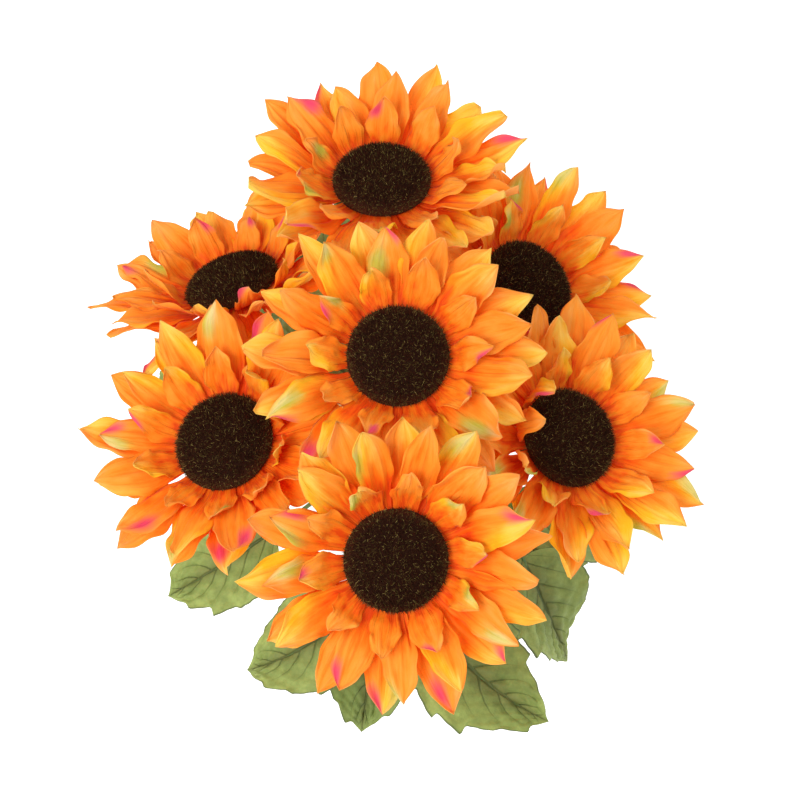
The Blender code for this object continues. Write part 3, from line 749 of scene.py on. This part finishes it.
for batch, ((bloom, layer), petals) in enumerate(laid_petals.items()):
    rows, columns = (24, 17) if layer == "inner" else (32, 21)
    points, faces, marks = petal_layer(petals, batch, rows, columns)
    star = f"petal_star_{layer}_{bloom}", to_bloom(points, bloom), faces, petal_cloth
    make_piece(*star, "petal_fabric", [f"petals_{layer}_{bloom}"], marks, CLOTH, sharp=None)


# -------------------- seed discs
# A foam dome glued over the wire's end, flocked all over with short dark nylon fibres. A few
# longer fibres in olive and gold stand among them, and the pile leans outwards round the rim.
PILE_LENGTH = 0.0023
FOAM_RADIUS = DISC_RADIUS + 0.0002
FOAM_RISE = DISC_RISE - 0.0014
FOAM_TONE = 0.12  # on the pile's ramp of colours
GOLDEN_ANGLE = math.radians(137.508)
ROOT_DEPTH = 0.0003  # how deep the fibres stand in the glue
PILE_SEED = 77

# Kinds of fibre: how many, then length as a share of PILE_LENGTH, radius, lean and tone
FIBRES = (
    (5000, 1, 0.00026, 0.34, 0.28),
    (1500, 1.12, 0.00013, 0.55, 0.66),
    (420, 1.18, 0.00014, 0.60, 0.84),
)


def foam_height(radius):
    """Height of the dome over its seat at a distance from its middle: the rise times one less the
    3.2th power of the share of the radius, to the power 0.62."""
    return FOAM_RISE * (1 - np.clip(radius / FOAM_RADIUS, 0, 1) ** 3.2) ** 0.62


def flock(dice, count, length, width, lean, tone):
    """Fibres as points, faces and tones. Each is a slim spike with three sides, on a golden-angle
    spiral over the dome, that leaves it square and leans by a random share of its length."""
    k = np.arange(count)
    radius = FOAM_RADIUS * np.sqrt((k + 0.5) / count)
    turn = k * GOLDEN_ANGLE + dice.uniform(-0.4, 0.4, count)
    radius = np.minimum(radius + dice.uniform(-0.0004, 0.0004, count), FOAM_RADIUS * 0.998)
    slope = (foam_height(radius) - foam_height(radius + 1e-5)) / 1e-5
    lie = np.minimum(slope, 2.2)
    out = np.stack([np.cos(turn), np.sin(turn), 0 * turn], -1)
    root = out * radius[:, None] + [0, 0, DISC_SEAT]
    root[:, 2] += foam_height(radius)
    way = unit(out * lie[:, None] + [0, 0, 1])
    way = unit(way + dice.normal(0, lean, (count, 3)))
    long = length * dice.uniform(0.65, 1.15, count)
    first = np.cross(way, dice.normal(0, 1, (count, 3)))
    first *= width / np.linalg.norm(first, axis=1)[:, None]
    second = np.cross(way, first)
    thirds = round_steps(3)
    base = root[:, None] - ROOT_DEPTH * way[:, None]
    base = base + first[:, None] * np.cos(thirds)[None, :, None]
    base = base + second[:, None] * np.sin(thirds)[None, :, None]
    tip = (root + way * long[:, None])[:, None]
    points = np.concatenate([base, tip], 1).reshape(-1, 3)
    spike = np.array([[0, 1, 3, 3], [1, 2, 3, 3], [2, 0, 3, 3], [0, 2, 1, 1]])
    faces = (4 * k[:, None, None] + spike).reshape(-1, 4)
    tones = np.repeat(tone + dice.uniform(-0.16, 0.16, count), 4)
    return points, faces, tones


# Flocked nylon: each fibre is nearly black brown with a dull shine, redder where light comes in at
# the rim; the long ones are olive to gold.
pile_nylon, tree, output = new_finish("flocked nylon pile")
tone = add_node(tree, "Attribute", {"attribute_name": "pile_tone"}, "Fac")
browns = ((0.0, "#1B0C06"), (0.30, "#32180E"), (0.50, "#4A2112"))
golds = ((0.66, "#544424"), (0.82, "#7E6E38"), (1.0, "#C4AE68"))
dull = {"Roughness": 0.85, "IOR": 1.45, "Specular IOR Level": 0.06}
pile = add_node(tree, "BsdfPrincipled", {**dull, "Base Color": add_ramp(tree, tone, browns + golds)})
tree.links.new(output.inputs["Surface"], pile)

share = np.array([0.9999, 0.997, *np.linspace(0.985, 0.06, 22)])
height = DISC_SEAT + foam_height(FOAM_RADIUS * share)
rings = turned_rings(FOAM_RADIUS * share[:, None], height[:, None], 64)
foam, foam_faces = closed_round(rings, (0, 0, DISC_SEAT), (0, 0, DISC_SEAT + FOAM_RISE))
for number, bloom in enumerate(BLOOMS):
    dice = np.random.default_rng([PILE_SEED, number])
    parts = [(foam, foam_faces, np.full(len(foam), FOAM_TONE))]
    for count, long, *kind in FIBRES:
        parts.append(flock(dice, count, PILE_LENGTH * long, *kind))
    starts = np.cumsum([0, *(len(part[0]) for part in parts)])
    points = np.concatenate([part[0] for part in parts])
    faces = np.concatenate([part[1] + start for part, start in zip(parts, starts)])
    marks = np.concatenate([part[2] for part in parts])
    edge = smooth((np.hypot(points[:, 0], points[:, 1]) / DISC_RADIUS - 0.80) / 0.2)
    marks = np.where(marks < 0.6, marks + 0.26 * edge, marks)
    disc = f"seed_pile_{bloom}", to_bloom(points, bloom), faces, pile_nylon
    make_piece(*disc, "seed_pile", [f"disc_{bloom}"], {"pile_tone": marks}, sharp=None)


# -------------------- leaves
# Polyester cloth stiffened and pressed hot between plates that emboss its veins, with a coarse
# toothed outline left by the die. Each is glued along a sheathed wire, which clips on its stem.
STALK_WIDTH = 0.0028
BLADE = 0.092
BLADE_WIDTH = 0.072
LEAF_CLOTH = 0.00050
LEAF_ROOM = 0.0022
TEETH = 6
VEINS = 6  # on each side
VEIN_SLANT = 0.36  # how far a vein runs on along the blade, to its edge
VEINED = 0.86  # they leave the midrib along this share of it
LEAF_FOLD = 0.22  # how far each half rises to its edge, over its width
LEAF_SEED = 5
WIRE_RADII = (0.00135, 0.00115, 0.0005)  # at the stem, at the blade and at the wire's end
WIRE_DEPTH = 0.0014  # under the midrib
WIRE_REACH = 0.80  # how far along the blade it goes on

# Heights and depths of what the plates emboss in a leaf, and of its slow waves
SWELL = 0.0011
VEIN_GROOVE = 0.0005
MIDRIB_GROOVE = 0.0010
CRUMPLES = (0.00042, 0.00036)
EDGE_WAVE = (0.0038, 0.0018)  # and how much more it is on one side

# name: stem, share of the way up it, length of the stalk, then in degrees the compass way the leaf
# leaves by, its bend sideways, its rise, droop to the tip and roll; and share of the full blade
LEAVES = {
    "left_low": ("left", 0.43, 0.035, 217, -18, -10, 30, 5, 0.92),
    "left_up": ("left", 0.47, 0.040, 100, 0, -15, 40, -10, 0.90),
    "front_left": ("front", 0.52, 0.045, 242, -58, -14, 28, 5, 0.91),
    "front_low": ("front", 0.40, 0.042, 257, 4, -10, 36, -6, 0.92),
    "front_right": ("front", 0.62, 0.045, 289, 50, -6, 16, 0, 0.98),
    "front_side": ("front", 0.44, 0.020, 340, -20, -20, 38, -5, 0.90),
    "right_low": ("right", 0.56, 0.045, 300, 0, -22, 38, -42, 0.95),
    "right_mid": ("right", 0.36, 0.030, 335, 10, -25, 25, 15, 0.90),
    "right_up": ("right", 0.47, 0.030, 350, 0, -12, 32, 5, 0.90),
    "crown_left": ("crown", 0.58, 0.040, 130, -5, -5, 28, 10, 0.90),
    "crown_right": ("crown", 0.48, 0.045, 35, 0, -15, 38, -15, 0.90),
    "back_left_in": ("back_left", 0.68, 0.060, 85, 10, -15, 25, -20, 0.95),
    "back_left_out": ("back_left", 0.50, 0.030, 165, 0, -5, 30, 0, 0.90),
    "back_side": ("back", 0.66, 0.030, 60, 0, -18, 34, 5, 0.95),
    "back_out": ("back", 0.64, 0.030, 134, 0, -10, 25, 0, 0.95),
    "back_right_out": ("back_right", 0.66, 0.025, 20, 5, -18, 38, 10, 1.00),
}


def draw_leaf(name):
    """A leaf as a dict of its sizes and angles, with its own dice."""
    stem, share, stalk, *angles, size = LEAVES[name]
    leaf = dict(zip(("way", "bend", "rise", "droop", "roll"), np.radians(angles).tolist()))
    leaf["centre"] = stem_path(stem, [share])[0]
    leaf["stalk"], leaf["size"] = stalk, size
    seed = [LEAF_SEED, list(LEAVES).index(name)]
    leaf["dice"] = np.random.default_rng(seed).uniform(-1, 1, 24)
    return leaf


def leaf_frame(leaf):
    """The leaf's own axes as rows, and its root just clear of the side of its stem."""
    c, s = math.cos(leaf["way"]), math.sin(leaf["way"])
    axes = np.array([[c, s, 0], [-s, c, 0], [0, 0, 1]])
    return axes, leaf["centre"] + (STEM_RADIUS + GAP) * axes[0]


def leaf_spine(leaf):
    """The line of the leaf's wire: the distance along it, then x, y, z, its pitch and its heading.
    The pitch falls by the droop times the 1.2th power of the share of the way, and the heading
    turns evenly by the bend."""
    whole = leaf["stalk"] + BLADE * leaf["size"]
    arc = np.linspace(0, whole, 65)
    pitch = leaf["rise"] - leaf["droop"] * (arc / whole) ** 1.2
    heading = leaf["bend"] * arc / whole
    level = np.cos(pitch)
    steps = np.stack([level * np.cos(heading), level * np.sin(heading), np.sin(pitch)])
    middle = (steps[:, 1:] + steps[:, :-1]) / 2 * arc[1]
    path = np.concatenate([np.zeros((3, 1)), np.cumsum(middle, 1)], 1)
    return (arc, *path, pitch, heading)


def leaf_rows(leaf, at, sideways, lifted):
    """Places of points beside and above the spine, at a distance along it, that roll with it."""
    arc, *line = leaf_spine(leaf)
    x, y, z, pitch, heading = (np.interp(at, arc, k) for k in line)
    roll = leaf["roll"] * smooth(at / arc[-1])
    beside = sideways * np.cos(roll) - lifted * np.sin(roll)
    above = sideways * np.sin(roll) + lifted * np.cos(roll)
    x = x - beside * np.sin(heading) - above * np.sin(pitch) * np.cos(heading)
    y = y + beside * np.cos(heading) - above * np.sin(pitch) * np.sin(heading)
    return np.stack([x, y, z + above * np.cos(pitch)], -1)


def leaf_swell(share):
    """Half width of the plain blade along it, as a share of the widest: a sine of the 0.62th power
    of the share of its length, raised to 0.8 before the widest place and 1.03 after it."""
    return np.sin(math.pi * share**0.62) ** np.where(share < 0.33, 0.8, 1.03)


def plain_leaf(leaf, across):
    """Middle surface of a leaf with its stalk, from its root, in few rows: the root, the blade's
    foot, then a tooth and a valley in turn, and the tip."""
    rows = np.concatenate([[0], (np.arange(1, 2 * TEETH) + 0.2) / (2 * TEETH), [1]])
    blade = BLADE * leaf["size"]
    share = np.concatenate([[0], rows])[:, None]
    tooth = np.concatenate([[0], np.arange(2 * TEETH + 1) % 2])[:, None]
    half = BLADE_WIDTH * leaf["size"] / 2 * leaf_swell(share) * (0.955 + 0.09 * tooth)
    half[-1] = 0
    half[:2] = STALK_WIDTH / 2
    v = np.asarray(across)
    at = np.concatenate([[0], leaf["stalk"] + rows * blade])[:, None]
    at = at + 0.035 * blade * tooth * v**2
    lifted = LEAF_FOLD * half * np.abs(v) * smooth(share * 6)
    return leaf_rows(leaf, at, v * half, lifted)


def settle_leaves(crowd):
    """Lays the leaves as the petals were, changing their rise and the way they point."""
    changes = range(-40, 41, 5)
    tries = sorted(((a, b) for a in changes for b in changes), key=lambda t: abs(t[0]) + abs(t[1]))
    laid = {}
    for name in LEAVES:
        leaf = draw_leaf(name)
        drawn = leaf["rise"], leaf["way"]
        for change, turn in tries:
            leaf["rise"] = drawn[0] + math.radians(change)
            leaf["way"] = drawn[1] + math.radians(turn)
            axes, root = leaf_frame(leaf)
            surface = plain_leaf(leaf, THREE_ACROSS) @ axes + root
            surface[0] += 0.2 * (surface[1] - surface[0])
            if not crowd.touches(surface):
                break
        crowd.add_surface(surface, LEAF_ROOM)
        laid[name] = leaf
    return laid


def pressed_blade(leaf, rows, columns):
    """The blade as a fine grid, its points, faces and marks.

    The outline is the plain one with saw teeth that lean to the tip and differ in depth. The height
    is the fold along the midrib, grooves in a bell curve along the midrib and the veins, a swell
    between each two veins that fades at the edge, a wave that grows with the square of v, and two
    that slant across. A vein runs where the phase is a whole number: the share of the way along,
    less the slant times the 1.15th power of v, wandering a little as two sines. The two sides are
    half a step apart."""
    dice = leaf["dice"]
    blade = BLADE * leaf["size"]
    share = np.linspace(0, 1, rows)[:, None]
    v = np.linspace(-1, 1, columns)
    side = np.sign(v)
    count = share * TEETH - 0.1 + 0.23 * side
    deep = 0.75 + 0.5 * dice[(np.floor(count) + 2 * side + 4).astype(int) % 24]
    tooth = np.where(count % 1 < 0.74, count % 1 / 0.74, (1 - count % 1) / 0.26) ** 1.25 * deep
    small = np.abs((count * 2.6) % 1 - 0.5) * 0.35
    edge = np.abs(v) ** 4
    half = BLADE_WIDTH * leaf["size"] / 2 * leaf_swell(share)
    half = np.maximum(half, STALK_WIDTH / 2 * (1 - smooth(share * 6)))
    jag = (-0.050 + 0.120 * tooth + 0.07 * small) * edge * smooth(share * 9)
    jag = jag * smooth((1 - share) * 8)
    at = leaf["stalk"] + share * blade + 0.040 * blade * tooth * edge * smooth((1 - share) * 5)
    sideways = v * half * (1 + jag)

    phase = share - VEIN_SLANT * np.abs(v) ** 1.15 * smooth(half / 0.012)
    phase = phase * VEINS / VEINED + 0.5 * (side > 0) + 0.12 * wave(1.4 * share + dice[18])
    phase = phase + 0.15 * side * np.sin(5 * share + 6 * dice[19])
    between = np.abs(phase - np.round(phase)) * 2
    veined = bell(between, 0.20) * smooth(np.abs(v) * 6) * (1 - 0.5 * np.abs(v))
    swell = np.sin(math.pi * between / 2) ** 1.4 * (1 - np.abs(v) ** 3) * smooth(np.abs(v) * 5)
    rolling = EDGE_WAVE[0] + EDGE_WAVE[1] * dice[21] * side
    rolling = wave(1.3 * share + dice[20]) * np.abs(v) ** 2 * rolling
    crumple = CRUMPLES[0] * wave(4.1 * share + 2.3 * v + dice[22])
    crumple = crumple + CRUMPLES[1] * wave(6.7 * share - 3.6 * v + dice[23])
    relief = SWELL * swell - VEIN_GROOVE * veined - MIDRIB_GROOVE * bell(v, 0.05)
    grown = smooth(share * 5) * smooth((1 - share) * 5)
    lifted = LEAF_FOLD * half * np.sqrt(v**2 + 0.004) * smooth(share * 6)
    lifted = lifted + (relief + crumple + rolling) * grown
    points = leaf_rows(leaf, at, sideways, lifted)

    index = np.arange(rows * columns).reshape(rows, columns)
    index[-1] = index[-1, 0]
    used, faces = np.unique(grid_faces(index), return_inverse=True)
    place = np.stack([share + 0 * v, v + 0 * share, phase], -1)
    return points.reshape(-1, 3)[used], faces.reshape(-1, 4), place.reshape(-1, 3)[used]


# Dyed and starched polyester: matt olive green, the veins darker and browner, the cloth between
# them mottled and paler towards the cut edge, which is itself a thin dark line.
leaf_cloth, tree, output = new_finish("embossed polyester leaf cloth")
where = add_node(tree, "Attribute", {"attribute_name": "leaf_place"}, "Vector")
along, across, phase = add_node(tree, "SeparateXYZ", {"Vector": where}).node.outputs
aside = add_math(tree, "ABSOLUTE", across)
between = add_math(tree, "PINGPONG", phase, 0.5)
thinning = add_math(tree, "MULTIPLY_ADD", aside, -0.07, 0.10)
side_vein = add_fade(tree, between, 0.0, thinning, 0.70, 0.0, "SMOOTHSTEP")
fading = add_fade(tree, aside, 0.05, 0.80, 1.0, 0.0)
side_vein = add_math(tree, "MULTIPLY", side_vein, fading)
midrib = add_fade(tree, aside, 0.012, 0.050, 0.95, 0.0, "SMOOTHSTEP")
ending = add_fade(tree, along, 0.35, 1.0, 1.0, 0.25)
midrib = add_math(tree, "MULTIPLY", midrib, ending)
veined = add_math(tree, "MAXIMUM", side_vein, midrib)
place = add_node(tree, "TexCoord", {}, "Object")
specks = {"Scale": 110.0, "Detail": 6.0, "Roughness": 0.68, "Vector": place}
mottle = add_node(tree, "TexNoise", specks)
# Each leaf takes the dye a little differently, so a slow drift over the bush shades whole leaves
drift = add_node(tree, "TexNoise", {"Scale": 14.0, "Detail": 0.0, "Vector": place})
shaded = add_math(tree, "MULTIPLY_ADD", drift, 0.50, -0.25)
paler = add_math(tree, "MULTIPLY_ADD", aside, 0.26, shaded)
paler = add_math(tree, "ADD", paler, mottle)
greens = ((0.26, "#5E6E34"), (0.50, "#7C8C45"), (0.70, "#8C9C50"), (0.98, "#ABBB66"))
colour = add_ramp(tree, paler, greens)
stain = add_math(tree, "MULTIPLY", add_fade(tree, aside, 0.02, 0.30, 1.0, 0.0), mottle)
colour = add_tint(tree, stain, colour, linear("#6E6A3A"))
colour = add_tint(tree, veined, colour, linear("#4C5A2B"))
cut_edge = add_fade(tree, aside, 0.960, 0.990, 0.0, 0.8)
colour = add_tint(tree, cut_edge, colour, linear("#46572A"))
weave = add_node(tree, "TexNoise", {"Scale": 1100.0, "Detail": 1.0, "Vector": place})
relief = add_node(tree, "Bump", {"Strength": 0.35, "Distance": 0.00018, "Height": weave})
height = add_math(tree, "MULTIPLY_ADD", veined, -0.9, mottle)
embossed = {"Strength": 0.85, "Distance": 0.0012, "Height": height, "Normal": relief}
relief = add_node(tree, "Bump", embossed)
matt = {"Roughness": 0.60, "IOR": 1.5, "Specular IOR Level": 0.35}
face = add_node(tree, "BsdfPrincipled", {**matt, "Base Color": colour, "Normal": relief})
glow = add_node(tree, "BsdfTranslucent", {"Color": colour})
tree.links.new(output.inputs["Surface"], add_node(tree, "MixShader", {0: 0.14, 1: face, 2: glow}))

for name, leaf in settle_leaves(crowd).items():
    axes, root = leaf_frame(leaf)
    points, faces, place = pressed_blade(leaf, 76, 41)
    blade = f"leaf_blade_{name}", points @ axes + root, faces, leaf_cloth, "leaf_fabric"
    make_piece(*blade, [f"leaf_{name}"], {"leaf_place": place}, LEAF_CLOTH, sharp=None)
    # The sheathed wire: from the stem along the stalk and on under the midrib, thinning to its end
    at = np.linspace(-STEM_RADIUS, leaf["stalk"] + WIRE_REACH * BLADE * leaf["size"], 60)
    under = WIRE_DEPTH * smooth((at - leaf["stalk"]) / 0.012)
    line = leaf_rows(leaf, np.maximum(at, 0), 0 * at, -under)
    line[:, 0] += np.minimum(at, 0)
    radii = np.interp(at, (0, leaf["stalk"], at[-1]), WIRE_RADII)
    rings = tube_rings(line, np.gradient(line, axis=0), radii, 12)
    points, faces = closed_round(rings, line[0], line[-1])
    wire = f"leaf_wire_{name}", points @ axes + root, faces, stem_plastic, "leaf_fabric"
    make_piece(*wire, [f"leaf_{name}"])


# -------------------- floor, light and camera
# A plain white table under soft studio light from above, with a fill from all round.
# name: place, width and power
LIGHTS = {"key": ((-0.9, -0.7, 2.0), 1.1, 32), "fill": ((1.2, 0.6, 1.8), 1.4, 9)}
LIT = (0, 0, 0.33)  # what they are turned to
TABLE_REACH = 5.0

laminate, tree, output = new_finish("white laminate table")
matt = {"Base Color": linear("#F7F7F7"), "Roughness": 0.9}
bright = {"Emission Color": (1, 1, 1, 1), "Emission Strength": 0.45}
tree.links.new(output.inputs["Surface"], add_node(tree, "BsdfPrincipled", {**matt, **bright}))
mesh = bpy.data.meshes.new("table")
corners = [(TABLE_REACH * x, TABLE_REACH * y, 0) for x, y in ((-1, -1), (1, -1), (1, 1), (-1, 1))]
mesh.from_pydata(corners, [], [(0, 1, 2, 3)])
mesh.materials.append(laminate)
table = bpy.data.objects.new("table", mesh)
bpy.context.collection.objects.link(table)

world = bpy.data.worlds.new("studio")
world.use_nodes = True
world.node_tree.nodes["Background"].inputs["Color"].default_value = (1, 1, 1, 1)
world.node_tree.nodes["Background"].inputs["Strength"].default_value = 0.78
bpy.context.scene.world = world
for name, (place, size, power) in LIGHTS.items():
    lamp = bpy.data.lights.new(name, "AREA")
    lamp.shape = "DISK"
    lamp.size = size
    lamp.energy = power
    light = bpy.data.objects.new(name, lamp)
    light.location = place
    x, y, z = np.subtract(place, LIT)
    light.rotation_euler = (math.atan2(math.hypot(x, y), z), 0, math.atan2(y, x) + math.pi / 2)
    bpy.context.collection.objects.link(light)
bpy.context.scene.view_settings.view_transform = "Standard"

# The camera looks down from the front at the middle bloom
ELEVATION = math.radians(72)
TARGET = np.array([0, -0.002, 0.400])
DISTANCE = 1.2
SENSOR = 36  # in millimetres
PICTURE = 800  # width and height, like the next two in pixels
FOCAL_LENGTH = 2271
SHIFT = (2, -47)
view = bpy.data.cameras.new("camera")
view.sensor_width = SENSOR
view.lens = SENSOR * FOCAL_LENGTH / PICTURE
view.shift_x = SHIFT[0] / PICTURE
view.shift_y = SHIFT[1] / PICTURE
camera = bpy.data.objects.new("camera", view)
camera.location = TARGET + DISTANCE * np.array([0, -math.cos(ELEVATION), math.sin(ELEVATION)])
camera.rotation_euler = (math.pi / 2 - ELEVATION, 0, 0)
bpy.context.collection.objects.link(camera)
bpy.context.scene.camera = camera
